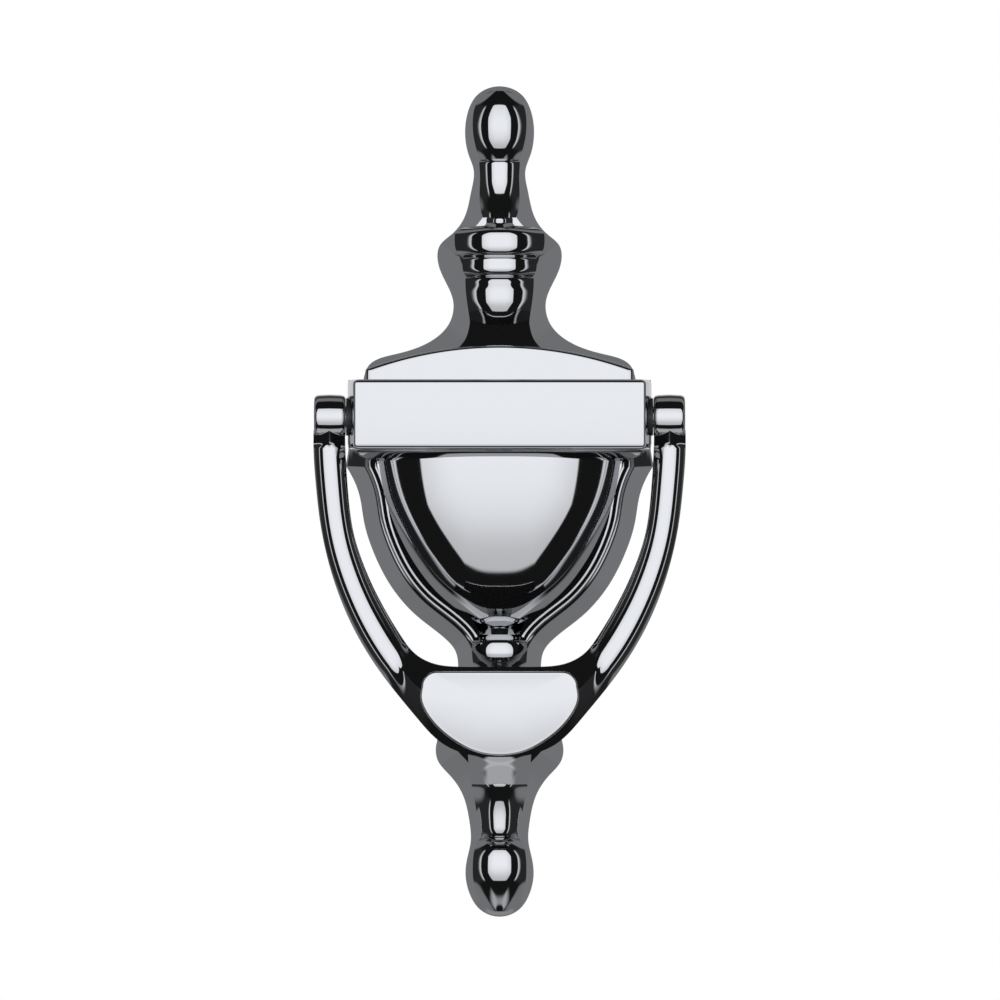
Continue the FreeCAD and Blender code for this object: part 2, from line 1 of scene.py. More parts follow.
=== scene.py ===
import math
import bmesh
import bpy
import numpy as np
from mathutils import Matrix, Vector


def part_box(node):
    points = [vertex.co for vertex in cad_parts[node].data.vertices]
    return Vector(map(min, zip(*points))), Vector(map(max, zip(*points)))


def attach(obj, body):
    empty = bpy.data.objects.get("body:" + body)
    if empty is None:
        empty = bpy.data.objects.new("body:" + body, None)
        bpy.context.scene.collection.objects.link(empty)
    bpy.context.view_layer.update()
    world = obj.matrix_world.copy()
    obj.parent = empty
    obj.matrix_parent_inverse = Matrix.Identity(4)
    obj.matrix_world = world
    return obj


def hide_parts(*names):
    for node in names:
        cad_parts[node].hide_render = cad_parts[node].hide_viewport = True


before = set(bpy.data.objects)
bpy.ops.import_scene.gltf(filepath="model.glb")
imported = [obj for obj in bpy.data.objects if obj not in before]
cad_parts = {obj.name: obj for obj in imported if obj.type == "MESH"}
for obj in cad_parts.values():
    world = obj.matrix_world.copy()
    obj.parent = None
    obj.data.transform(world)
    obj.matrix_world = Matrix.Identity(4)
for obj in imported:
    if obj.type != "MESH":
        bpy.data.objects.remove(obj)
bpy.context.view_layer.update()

# Polished urn-pattern door knocker. Shapes are worked out in millimetres as (x, height, depth),
# where depth is the distance out from the door, and turned into metres when a mesh is made.

MM = 0.001
PLATE_LOW, PLATE_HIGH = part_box("backplate")
TIP = PLATE_HIGH.z / MM

# ---------------------------------------------------------------- finishes

NOISE_LOW, NOISE_HIGH = 0.3, 0.7


def new_material(name):
    """A material with its node tree, and its surface shader."""
    material = bpy.data.materials.new(name)
    material.use_nodes = True
    return material, material.node_tree.nodes["Principled BSDF"]


def noise(material, scale, detail=2.0):
    """A noise pattern fixed to the piece."""
    tree = material.node_tree
    place = tree.nodes.new("ShaderNodeTexCoord")
    pattern = tree.nodes.new("ShaderNodeTexNoise")
    pattern.inputs["Scale"].default_value = scale
    pattern.inputs["Detail"].default_value = detail
    tree.links.new(place.outputs["Object"], pattern.inputs["Vector"])
    return pattern


def spread(material, pattern, low, high):
    """The pattern's value moved to a range. Noise seldom leaves NOISE_LOW to NOISE_HIGH."""
    node = material.node_tree.nodes.new("ShaderNodeMapRange")
    node.inputs["From Min"].default_value = NOISE_LOW
    node.inputs["From Max"].default_value = NOISE_HIGH
    node.inputs["To Min"].default_value = low
    node.inputs["To Max"].default_value = high
    material.node_tree.links.new(pattern.outputs["Fac"], node.inputs["Value"])
    return node.outputs["Result"]


def add_bump(material, shader, pattern, height, strength):
    """Fine relief from a pattern."""
    bump = material.node_tree.nodes.new("ShaderNodeBump")
    bump.inputs["Strength"].default_value = strength
    bump.inputs["Distance"].default_value = height
    material.node_tree.links.new(pattern.outputs["Fac"], bump.inputs["Height"])
    material.node_tree.links.new(bump.outputs["Normal"], shader.inputs["Normal"])


def metal(name, colour, rough_low, rough_high, grain, height, strength):
    """A metal whose polish varies slightly from place to place."""
    material, shader = new_material(name)
    shader.inputs["Base Color"].default_value = (*colour, 1.0)
    shader.inputs["Metallic"].default_value = 1.0
    polish = spread(material, noise(material, grain), rough_low, rough_high)
    material.node_tree.links.new(polish, shader.inputs["Roughness"])
    add_bump(material, shader, noise(material, grain * 0.6, 1.0), height, strength)
    return material


def chrome_finish():
    """Bright plating with barely any unevenness."""
    return metal("polished_chrome", (0.555, 0.562, 0.575), 0.03, 0.06, 90.0, 0.00004, 0.05)


def cast_finish():
    """The casting's unpolished back."""
    return metal("cast_back", (0.42, 0.43, 0.44), 0.38, 0.55, 900.0, 0.00012, 0.5)


def steel_finish():
    """The screws, studs, washers, nuts and button."""
    return metal("plated_steel", (0.52, 0.53, 0.54), 0.16, 0.3, 400.0, 0.00002, 0.1)


def nylon_finish():
    """The dark washers beside the eyes."""
    material, shader = new_material("black_nylon")
    shader.inputs["Base Color"].default_value = (0.02, 0.02, 0.022, 1.0)
    rough = spread(material, noise(material, 700.0), 0.4, 0.6)
    material.node_tree.links.new(rough, shader.inputs["Roughness"])
    return material


def floor_finish():
    """A pale matt floor that also glows a little, since most of the studio's light is in front."""
    material, shader = new_material("pale_floor")
    shader.inputs["Base Color"].default_value = (0.8, 0.8, 0.8, 1.0)
    shader.inputs["Emission Color"].default_value = (1.0, 1.0, 1.0, 1.0)
    shader.inputs["Emission Strength"].default_value = 0.5
    rough = spread(material, noise(material, 4.0), 0.6, 0.8)
    material.node_tree.links.new(rough, shader.inputs["Roughness"])
    return material


CHROME = chrome_finish()
CAST = cast_finish()
STEEL = steel_finish()
NYLON = nylon_finish()

# ---------------------------------------------------------------- lines and meshes


def smooth_line(points, count):
    """Points on a natural cubic curve through points, evenly spaced along its first two columns."""
    known = np.array(points, float)
    steps = np.linalg.norm(np.diff(known[:, :2], axis=0), axis=1)
    place = np.concatenate(([0.0], np.cumsum(steps)))
    size = len(known)
    left = np.eye(size)
    right = np.zeros_like(known)
    for k in range(1, size - 1):
        before = place[k] - place[k - 1]
        after = place[k + 1] - place[k]
        left[k, k - 1:k + 2] = (before, 2 * (before + after), after)
        rise = (known[k + 1] - known[k]) / after - (known[k] - known[k - 1]) / before
        right[k] = 6 * rise
    bend = np.linalg.solve(left, right)
    where = np.linspace(0.0, place[-1], count)
    part = np.clip(np.searchsorted(place, where, side="right") - 1, 0, size - 2)
    span = (place[part + 1] - place[part])[:, None]
    b = (where - place[part])[:, None] / span
    a = 1 - b
    curve = a * known[part] + b * known[part + 1]
    return curve + ((a ** 3 - a) * bend[part] + (b ** 3 - b) * bend[part + 1]) * span ** 2 / 6


def mirrored(rows, columns):
    """Rows with some columns' signs turned round."""
    turned = np.array(rows, float)
    turned[:, columns] *= -1
    return turned


def half_of_symmetric(rows, columns, count):
    """The right half of a smooth line that crosses x = 0 at its first or last row."""
    rows = np.array(rows, float)
    other = mirrored(rows, columns)
    if rows[0, 0] == 0:
        whole = np.vstack((other[:0:-1], rows))
        return smooth_line(whole, 2 * count - 1)[count - 1:]
    whole = np.vstack((rows, other[-2::-1]))
    return smooth_line(whole, 2 * count - 1)[:count]


def arc_points(start, middle, end, count=14):
    """Points on the arc through three points, without the first."""
    (ax, ay), (bx, by), (cx, cy) = start, middle, end
    d = 2 * (ax * (by - cy) + bx * (cy - ay) + cx * (ay - by))
    a2, b2, c2 = ax * ax + ay * ay, bx * bx + by * by, cx * cx + cy * cy
    ux = (a2 * (by - cy) + b2 * (cy - ay) + c2 * (ay - by)) / d
    uy = (a2 * (cx - bx) + b2 * (ax - cx) + c2 * (bx - ax)) / d
    radius = math.hypot(ax - ux, ay - uy)
    first = math.atan2(ay - uy, ax - ux)
    last = math.atan2(cy - uy, cx - ux)
    between = math.atan2(by - uy, bx - ux)
    turn = (last - first) % (2 * math.pi)
    if (between - first) % (2 * math.pi) > turn:
        turn -= 2 * math.pi
    angles = [first + turn * k / count for k in range(1, count + 1)]
    return [(ux + radius * math.cos(t), uy + radius * math.sin(t)) for t in angles]


def soften(line, reach, corner=18.0, count=6):
    """The line with every real corner replaced by a small curve."""
    line = [np.array(p, float) for p in line]
    result = [line[0]]
    for before, here, after in zip(line, line[1:], line[2:]):
        coming = here - before
        going = after - here
        lengths = np.linalg.norm(coming), np.linalg.norm(going)
        turn = np.degrees(np.arccos(np.clip(coming @ going / (lengths[0] * lengths[1]), -1, 1)))
        if turn < corner:
            result.append(here)
            continue
        start = here - coming * min(reach / lengths[0], 0.45)
        end = here + going * min(reach / lengths[1], 0.45)
        for k in range(count + 1):
            t = k / count
            result.append((1 - t) ** 2 * start + 2 * t * (1 - t) * here + t * t * end)
    result.append(line[-1])
    return np.array(result)


def sheet(grid, round_columns=False):
    """Vertices and quads of a grid of points: rows, columns, (x, height, depth)."""
    grid = np.asarray(grid, float)
    rows, columns = grid.shape[:2]
    quads = []
    for r in range(rows - 1):
        for c in range(columns if round_columns else columns - 1):
            c2 = (c + 1) % columns
            below = (r + 1) * columns
            quads.append((r * columns + c, r * columns + c2, below + c2, below + c))
    return grid.reshape(-1, 3), quads


# Points nearer than this are one point, and edges shorter than half of it are dropped, in metres.
MERGE = 2e-7


def solid(name, *sheets):
    """One closed mesh object from sheets whose edges meet."""
    vertices, faces = [], []
    for points, quads in sheets:
        start = len(vertices)
        vertices += [(x * MM, -depth * MM, z * MM) for x, z, depth in points]
        faces += [tuple(start + k for k in quad) for quad in quads]
    mesh = bpy.data.meshes.new(name)
    mesh.from_pydata(vertices, [], faces)
    work = bmesh.new()
    work.from_mesh(mesh)
    bmesh.ops.remove_doubles(work, verts=work.verts, dist=MERGE)
    bmesh.ops.dissolve_degenerate(work, edges=work.edges, dist=MERGE / 2)
    bmesh.ops.recalc_face_normals(work, faces=work.faces)
    work.to_mesh(mesh)
    work.free()
    made = bpy.data.objects.new(name, mesh)
    bpy.context.scene.collection.objects.link(made)
    return made


def combine(base, tool, operation):
    """The base joined with or cut by the tool, which is then gone."""
    step = base.modifiers.new(operation.lower(), "BOOLEAN")
    step.operation = operation
    step.solver = "MANIFOLD"
    step.object = tool
    graph = bpy.context.evaluated_depsgraph_get()
    mesh = bpy.data.meshes.new_from_object(base.evaluated_get(graph))
    if len(mesh.polygons) == 0:
        raise RuntimeError(f"{tool.name} could not be combined with {base.name}")
    base.modifiers.remove(step)
    old = base.data
    base.data = mesh
    bpy.data.meshes.remove(old)
    bpy.data.objects.remove(tool)


def union(name, objects):
    """One object out of several closed ones."""
    base = objects[0]
    for other in objects[1:]:
        combine(base, other, "UNION")
    base.name = name
    return base


def finish(piece, materials, body, nodes, corner=32.0):
    """Materials, smooth shading, the body that it rides on and the nodes that it stands for."""
    piece.data.materials.clear()
    for material in materials:
        piece.data.materials.append(material)
    for face in piece.data.polygons:
        face.use_smooth = True
    piece.data.set_sharp_from_angle(angle=math.radians(corner))
    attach(piece, body)
    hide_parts(*nodes)
    return piece


def close_ends(grid, depth):
    """Rings with their first and last drawn to points on the middle line at a depth."""
    grid = np.array(grid)
    first = grid[:1] * (0, 1, 0) + (0, 0, depth)
    last = grid[-1:] * (0, 1, 0) + (0, 0, depth)
    return np.concatenate((first, grid, last))


def disc_rings(radius_depth, steps, centre=(0.0, 0.0)):
    """Rings about an axis square to the door: rows of (radius, depth)."""
    angles = np.linspace(0, 2 * math.pi, steps, endpoint=False)
    grid = []
    for radius, depth in radius_depth:
        ring = [(centre[0] + radius * math.cos(t), centre[1] + radius * math.sin(t), depth)
                for t in angles]
        grid.append(ring)
    return sheet(grid, round_columns=True)


def cross_rings(radius_x, steps, height, depth):
    """Rings about the pivots' axis: rows of (radius, x)."""
    angles = np.linspace(0, 2 * math.pi, steps, endpoint=False)
    grid = []
    for radius, x in radius_x:
        ring = [(x, height + radius * math.cos(t), depth + radius * math.sin(t)) for t in angles]
        grid.append(ring)
    return sheet(grid, round_columns=True)


# ---------------------------------------------------------------- backplate

# The flange's right edge and the line where it goes under the relief, above the crossbar:
# (edge x, edge height, inner x, inner height), from the tip down.
UPPER_EDGE = [
    (0.0, TIP, 0.0, 95.5), (5.4, 95.3, 3.7, 93.8), (7.4, 91.6, 4.9, 91.0), (8.1, 86.8, 5.6, 86.8),
    (7.2, 81.2, 4.3, 82.0), (6.1, 77.9, 4.0, 78.2), (6.7, 72.7, 4.1, 72.2), (8.1, 67.1, 4.0, 66.6),
    (11.2, 62.8, 9.2, 61.3), (14.1, 60.0, 9.5, 59.6), (14.5, 56.4, 7.3, 56.8), (12.7, 51.6, 7.2, 52.0),
    (10.9, 47.0, 7.0, 47.4), (11.9, 41.7, 5.7, 42.4), (16.4, 37.5, 7.2, 35.0), (24.5, 34.6, 21.6, 28.6),
    (30.9, 31.7, 27.6, 26.6), (32.0, 28.5, 28.6, 25.0),
]
# The same below the crossbar, down to the lower tip.
LOWER_EDGE = [
    (36.1, 8.4, 28.6, 8.0), (34.5, 5.6, 27.6, 5.4), (32.8, 1.0, 26.1, 1.4), (31.9, -4.4, 24.8, -3.2),
    (29.6, -11.9, 21.9, -9.4), (25.8, -19.4, 18.7, -15.2), (19.4, -26.9, 13.4, -21.4),
    (13.0, -32.0, 7.4, -26.4), (10.3, -35.3, 4.6, -31.6), (9.7, -39.0, 4.2, -38.4),
    (10.0, -45.0, 5.4, -45.0), (12.4, -51.5, 6.0, -51.5), (14.7, -56.3, 6.6, -56.8),
    (14.6, -60.6, 6.7, -61.0), (11.6, -64.4, 6.3, -64.8), (8.6, -69.0, 5.4, -69.0),
    (7.1, -75.0, 4.4, -75.0), (6.8, -80.0, 4.4, -80.4), (7.6, -83.8, 5.2, -83.8),
    (8.0, -87.0, 5.5, -87.0), (7.0, -92.2, 4.2, -91.6), (4.6, -95.8, 2.6, -94.2),
    (0.0, -TIP, 0.0, -95.5),
]
EDGE_DEPTH = 1.4
BAR_HALF = 35.5
BAR_LOW, BAR_HIGH = 12.0, 28.5
# The inner line beside the crossbar, which hides it.
BAR_INNER = 29.0
BAR_INNER_HIGH = 24.0
# The depth of the plate's front where the relief covers it, and of the relief's own backs.
SUNK = 1.0
# Where the rim beside the bowl gives way to the plain slope, going down, and how gradually.
RIM_END, RIM_FADE, RIM_TOP = -37.0, 6.0, 10.0
# How deep the flange is by the distance from its edge: beside the bowl, and elsewhere.
RIM_SHAPE = [
    (0.0, EDGE_DEPTH), (0.15, 1.65), (3.8, 5.35), (4.6, 5.9), (4.85, 5.92), (5.9, 6.42),
    (6.15, 6.44), (7.5, 7.2), (9.0, 8.0),
]
SLOPE_SHAPE = [(0.0, EDGE_DEPTH), (0.15, 1.6), (5.4, 6.95), (6.4, 7.75), (7.5, 8.55), (12.0, 11.8)]


def shape_at(shape, distance):
    """A height profile, rounded at its corners, read at distances from the edge."""
    line = soften(shape, 0.2, corner=4.0)
    return np.interp(distance, line[:, 0], line[:, 1])


def distance_to_line(points, line):
    """Each point's distance to the nearest piece of a closed line."""
    ends = np.roll(line, -1, axis=0)
    along = ends - line
    length = (along ** 2).sum(1) + 1e-12
    nearest = np.full(len(points), 1e9)
    for chunk in range(0, len(points), 2000):
        part = points[chunk:chunk + 2000]
        offset = part[:, None, :] - line[None]
        t = np.clip((offset * along).sum(2) / length, 0, 1)
        gap = np.linalg.norm(offset - t[..., None] * along, axis=2)
        nearest[chunk:chunk + 2000] = gap.min(1)
    return nearest


def make_flange():
    """The plate's flat back, upright edge, bevel all round, and the rim and groove by the bowl."""
    upper = half_of_symmetric(UPPER_EDGE, [0, 2], 520)
    lower = half_of_symmetric(LOWER_EDGE, [0, 2], 760)
    side = [
        (BAR_HALF, BAR_HIGH, BAR_INNER, BAR_INNER_HIGH), (BAR_HALF, BAR_LOW, BAR_INNER, BAR_LOW),
    ]
    half = np.vstack((upper, side, lower))
    edge = np.vstack((half[:, :2], mirrored(half[-2:0:-1, :2], [0])))
    steps = np.linspace(0, 1, 45)
    flat = np.vstack([half[:, :2] * (1 - step) + half[:, 2:] * step for step in steps])
    gap = distance_to_line(flat, edge)
    beside_bowl = np.clip((flat[:, 1] - RIM_END) / RIM_FADE, 0, 1) * (flat[:, 1] < RIM_TOP)
    beside_bowl = beside_bowl ** 2 * (3 - 2 * beside_bowl)
    rim = shape_at(RIM_SHAPE, gap)
    slope = shape_at(SLOPE_SHAPE, gap)
    depth = rim * beside_bowl + slope * (1 - beside_bowl)
    count = len(half)
    right = np.column_stack((flat, depth)).reshape(len(steps), count, 3)
    base = np.column_stack((half[:, :2], np.zeros(count)))[None]
    right = np.concatenate((base, right))
    left = right * (-1, 1, 1)
    right = np.concatenate((right, right[-1:] * (1, 1, 0) + (0, 0, SUNK)))
    left = np.concatenate((left, left[-1:] * (1, 1, 0) + (0, 0, SUNK)))
    caps = []
    for row in (-1, 0):
        caps.append(np.stack([right[row] * (1 - t) + left[row] * t for t in np.linspace(0, 1, 9)]))
    return solid("flange", sheet(right), sheet(left), *(sheet(cap) for cap in caps))


def roof_section(count, sharpness, steepness):
    """A unit half section, edge to middle: flat on top, then turning to a steady slope."""
    q = np.linspace(0, 1, count)
    slope = steepness * (1 - np.exp(-(q / sharpness) ** 2))
    rise = np.concatenate(([0.0], np.cumsum((slope[1:] + slope[:-1]) / 2 * np.diff(q))))
    return q[::-1], (rise[-1] - rise)[::-1]


def relief(name, rows, sharpness=0.55, steepness=0.86):
    """A form on the plate's middle line: rows of (height, half width, depth at the middle).

    Sharpness is the share of the half width over which its section turns from flat to steep.
    """
    line = smooth_line(rows, 12 * len(rows))
    q, rise = roof_section(40, sharpness, steepness)
    across = np.concatenate((q, -q[-2::-1]))
    up = np.concatenate((rise, rise[-2::-1]))
    grid = []
    for height, half, middle in line:
        base = middle - rise[-1] * half
        ring = [(half, height, SUNK)]
        ring += [(half * a, height, max(base + half * h, SUNK + 0.01)) for a, h in zip(across, up)]
        ring += [(-half, height, SUNK)]
        grid.append(ring)
    return solid(name, sheet(close_ends(grid, SUNK), round_columns=True))


def make_upper_finial():
    """Ovoid, neck, collar, shoulder ring, second ring, cup and stem."""
    return [
        relief("ovoid", [
            (96.3, 1.8, 5.7), (95.9, 2.9, 5.9), (94.8, 4.4, 6.55), (93.0, 5.6, 7.4),
            (90.6, 6.2, 8.05), (88.0, 6.3, 8.3), (85.6, 6.1, 8.15), (83.6, 5.7, 7.75),
            (81.8, 5.2, 7.0), (80.0, 4.6, 5.9),
        ], 0.52, 0.82),
        relief("neck", [
            (80.3, 4.5, 5.9), (79.9, 4.7, 6.35), (79.2, 4.75, 6.6), (76.5, 4.6, 6.75),
            (73.8, 4.65, 7.1), (71.8, 4.7, 7.75), (69.4, 4.6, 8.9), (67.8, 4.3, 9.75),
            (66.5, 3.9, 10.3),
        ], 0.5),
        relief("collar", [
            (66.9, 2.6, 9.9), (66.4, 3.0, 10.4), (65.9, 3.1, 10.55), (65.3, 3.1, 10.5),
            (64.8, 3.4, 10.8), (64.2, 4.2, 11.3), (63.6, 5.2, 11.8),
        ], 0.35),
        relief("shoulder_ring", [
            (64.6, 4.8, 9.8), (64.2, 8.0, 11.1), (63.6, 9.7, 12.1), (63.0, 10.3, 12.5),
            (61.6, 10.55, 12.75), (60.2, 10.5, 12.8), (58.9, 10.2, 12.65), (58.2, 9.8, 12.35),
            (57.7, 9.3, 11.95), (57.2, 8.8, 11.5),
        ], 0.5),
        relief("second_ring", [
            (57.6, 8.4, 11.3), (57.2, 8.6, 11.9), (56.4, 8.7, 12.2), (55.1, 8.7, 12.3),
            (53.9, 8.5, 12.15), (53.2, 8.2, 11.7), (52.8, 7.9, 11.2),
        ]),
        relief("cup", [
            (53.2, 7.8, 10.7), (52.6, 7.95, 11.2), (51.2, 8.0, 11.75), (49.8, 7.95, 12.1),
            (48.2, 7.8, 12.2), (46.6, 7.6, 12.1), (45.2, 7.4, 11.75), (43.6, 7.15, 11.1),
            (42.2, 7.0, 10.4), (41.2, 6.9, 9.9),
        ], 0.5, 0.8),
        relief("stem", [
            (42.4, 6.9, 9.3), (41.0, 7.1, 10.2), (39.0, 7.6, 11.6), (37.0, 8.6, 13.0),
            (35.0, 10.2, 14.4), (33.6, 11.4, 15.4),
        ], 0.55, 0.42),
    ]


def make_lower_finial():
    """Throat, knop, hidden stem, band, tapered neck and ovoid."""
    return [
        relief("throat", [
            (-25.5, 10.5, 3.9), (-27.5, 8.6, 4.7), (-29.0, 7.2, 5.4), (-30.2, 6.4, 5.95),
            (-31.4, 5.8, 6.45), (-32.6, 5.4, 6.95),
        ], 0.2, 0.62),
        relief("knop", [
            (-31.2, 5.4, 7.7), (-31.9, 5.9, 8.6), (-32.7, 6.2, 9.3), (-33.8, 6.4, 9.7),
            (-34.9, 6.5, 9.85), (-36.2, 6.4, 9.75), (-37.4, 6.3, 9.4), (-38.4, 6.1, 8.9),
            (-39.2, 5.9, 8.4),
        ], 0.62),
        relief("hidden_stem", [
            (-38.6, 5.6, 7.9), (-39.4, 5.8, 8.1), (-44.0, 6.2, 8.9), (-52.0, 6.6, 10.4),
            (-58.0, 7.4, 13.2),
        ]),
        relief("band", [
            (-56.0, 7.4, 14.4), (-59.0, 7.4, 14.9), (-62.0, 7.2, 12.5), (-64.0, 7.0, 10.85),
            (-66.3, 6.7, 8.95),
        ]),
        relief("tapered_neck", [
            (-66.0, 6.5, 9.2), (-66.6, 6.5, 9.05), (-67.6, 6.4, 8.6), (-69.4, 6.0, 7.75),
            (-71.3, 5.65, 7.05), (-73.6, 5.2, 6.6), (-76.0, 4.8, 6.4), (-77.4, 4.6, 6.2),
            (-78.4, 4.5, 5.8), (-79.0, 4.4, 5.5),
        ], 0.36),
        relief("lower_ovoid", [
            (-78.9, 4.5, 5.8), (-79.5, 4.9, 6.5), (-80.6, 5.5, 7.4), (-82.2, 6.0, 8.15),
            (-84.4, 6.25, 8.5), (-86.6, 6.3, 8.45), (-88.8, 6.15, 7.95), (-90.6, 5.8, 7.1),
            (-92.4, 5.3, 6.05), (-94.0, 4.4, 5.05), (-95.4, 3.0, 4.2), (-96.2, 1.8, 3.8),
        ]),
    ]


# The bowl from the top down: (height, half width, how far its middle stands out over BOWL_DEPTH).
BOWL_ROWS = [
    (12.4, 28.6, 12.9), (8.6, 28.2, 12.8), (0.0, 26.5, 12.3), (-7.0, 23.9, 11.3),
    (-12.0, 21.4, 10.0), (-16.0, 18.9, 8.6), (-20.0, 15.8, 6.9), (-24.0, 11.6, 4.6),
    (-27.0, 7.4, 2.4), (-29.0, 3.4, 0.7), (-29.7, 0.2, 0.05),
]
BOWL_DEPTH = 5.6
BOWL_BACK = 2.5
# The share of that which the section loses towards its edge.
BOWL_SHARE = 0.67


def bulge(place):
    """The bowl's section: full at the middle, steepening to its edge, where it still stands proud."""
    return 1.0 - BOWL_SHARE * abs(place) ** 3


def make_bowl():
    """The urn's bowl, like a ball pressed flat, sharper towards its foot."""
    across = np.cos(np.linspace(0, math.pi, 260))
    grid = []
    for height, half, front in smooth_line(BOWL_ROWS, 150):
        ring = [(half * place, height, BOWL_DEPTH + front * bulge(place)) for place in across]
        grid.append(ring + [(-half, height, BOWL_BACK), (half, height, BOWL_BACK)])
    return solid("bowl", sheet(close_ends(grid, BOWL_BACK), round_columns=True))


def quarter(radius, start, direction, count=8):
    """Levels of a quarter-round edge: (place, inset) from the full inset to none."""
    levels = []
    for k in range(count + 1):
        a = math.pi / 2 * k / count
        levels.append((start + direction * radius * (1 - math.cos(a)), radius * (1 - math.sin(a))))
    return levels


BAR_FACE_HALF = 34.0
BAR_DEPTH = 23.4
BAR_DRAFT = 15.5
BAR_CROWN = 0.7
BAR_ROUND = 1.1
BAR_LOWER_ROUND = 1.5
BAR_BACK = 0.6


def bar_outline(inset):
    """The crossbar seen from above, moved in by inset."""
    face = BAR_FACE_HALF - inset
    depth = BAR_DEPTH - inset
    front = [(x, depth - BAR_CROWN * (x / face) ** 2) for x in np.linspace(face, -face, 61)]
    half = BAR_HALF - inset
    line = [(half, BAR_BACK), (half, BAR_DRAFT)] + front + [(-half, BAR_DRAFT), (-half, BAR_BACK)]
    return soften(line, BAR_ROUND, corner=30.0, count=8)


def make_bar():
    """The crossbar: crowned face, drafted ends, small round above, larger round below."""
    levels = quarter(BAR_LOWER_ROUND, BAR_LOW, 1) + quarter(BAR_ROUND, BAR_HIGH, -1)[::-1]
    grid = np.array([[(x, height, depth) for x, depth in bar_outline(inset)] for height, inset in levels])
    middle = grid[:, :1] * (0, 1, 1)
    closed = np.concatenate((middle, grid, middle), axis=1)
    ends = [closed[:1] * (0, 1, 1), closed, closed[-1:] * (0, 1, 1)]
    return solid("bar", sheet(np.concatenate(ends)))


LID_HALF = 31.4
LID_END = 30.9
LID_BASE = 27.0
LID_CREST = 36.5
LID_DEPTH = 17.0
LID_ROUND = 0.9
LID_CORNER = 1.1
LID_BACK = 1.5
LID_DOME = 0.4


def lid_outline(inset):
    """The lid from the front: an arched top with short upright ends, moved in by inset."""
    half = LID_HALF - 2.2 * inset
    end = LID_END - 0.8 * inset
    arch = arc_points((half, end), (0.0, LID_CREST - inset), (-half, end), 90)
    line = [(half, LID_BASE), (half, end)] + arch + [(-half, LID_BASE)]
    return soften(line, LID_CORNER, corner=20.0, count=8)


def make_lid():
    """The urn's lid, standing on the crossbar, with a softly domed face."""
    grid = []
    for depth, inset in [(LID_BACK, 0.0)] + quarter(LID_ROUND, LID_DEPTH, -1)[::-1]:
        grid.append([(x, z, depth) for x, z in lid_outline(inset)])
    last = np.array(grid[-1])
    for k in range(1, 13):
        t = k / 12
        ring = last.copy()
        ring[:, 0] *= 1 - t
        ring[:, 1] = last[:, 1] * (1 - t) + LID_BASE * t
        ring[:, 2] = LID_DEPTH + LID_DOME * (1 - (1 - t) ** 2)
        grid.append(ring)
    grid = np.array(grid)
    back = grid[:1] * (0, 0, 1) + (0, LID_BASE, 0)
    return solid("lid", sheet(np.concatenate((back, grid)), round_columns=True))


# The moulding under the crossbar from the top down: (height, half width, depth).
CORNICE_ROWS = [
    (12.9, 33.9, 22.6), (12.3, 33.7, 22.3), (11.6, 33.2, 21.6), (11.2, 32.8, 20.6),
    (10.4, 31.6, 18.0), (9.9, 30.6, 15.5), (9.2, 29.6, 9.0), (8.8, 29.2, 5.0),
]
CORNICE_BACK = 0.7
# How far its front falls back at its ends, and how much wider it is at the door.
CORNICE_FALL = 2.0
CORNICE_SPREAD = 1.0


def make_cornice():
    """The moulding under the crossbar, drawn in towards the bowl."""
    grid = []
    for height, half, depth in smooth_line(CORNICE_ROWS, 48):
        wide = half + CORNICE_SPREAD
        ring = [(0.0, height, CORNICE_BACK), (wide, height, CORNICE_BACK)]
        for x in np.linspace(half, -half, 81):
            ring.append((x, height, depth - CORNICE_FALL * (x / half) ** 6))
        grid.append(ring + [(-wide, height, CORNICE_BACK)])
    return solid("cornice", sheet(close_ends(grid, CORNICE_BACK), round_columns=True))


PIVOT_LOW, PIVOT_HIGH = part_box("pivot_washer_right")
PIVOT_DEPTH = -(PIVOT_LOW.y + PIVOT_HIGH.y) / 2 / MM
PIVOT_HEIGHT = (PIVOT_LOW.z + PIVOT_HIGH.z) / 2 / MM
SPACER_RADIUS = 4.4
SPACER_FACE = PIVOT_LOW.x / MM


def make_spacers():
    """The round faces at the bar's ends."""
    rows = [(0.0, -SPACER_FACE), (SPACER_RADIUS, -SPACER_FACE), (SPACER_RADIUS, SPACER_FACE),
            (0.0, SPACER_FACE)]
    return solid("spacers", cross_rings(rows, 64, PIVOT_HEIGHT, PIVOT_DEPTH))


BUTTON_LOW, BUTTON_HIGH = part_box("strike_button")
BUTTON_HEIGHT = (BUTTON_LOW.z + BUTTON_HIGH.z) / 2 / MM
BOSS_DEPTH = 9.0
BOSS_BACK = 0.8


def make_boss():
    """The boss that the strike button screws into."""
    rows = [(0.0, BOSS_BACK), (7.4, BOSS_BACK), (7.0, BOSS_DEPTH - 0.5), (6.5, BOSS_DEPTH),
            (0.0, BOSS_DEPTH)]
    return solid("boss", disc_rings(rows, 96, (0.0, BUTTON_HEIGHT)))


CORE_HALF = 22.0
CORE_HIGH = 25.3
CORE_LOW = 2.0
CORE_FOOT = -20.0
CORE_SHOULDER = (16.4, -13.4)
CORE_CENTRE = 5.0
CORE_ROUND = 2.0
# (depth, size against the recess's outline), from in front of the door's face to its rounded floor.
CORE_LEVELS = [(-1.0, 1.0), (3.6, 0.985), (4.2, 0.96), (4.4, 0.93), (4.4, 0.0)]


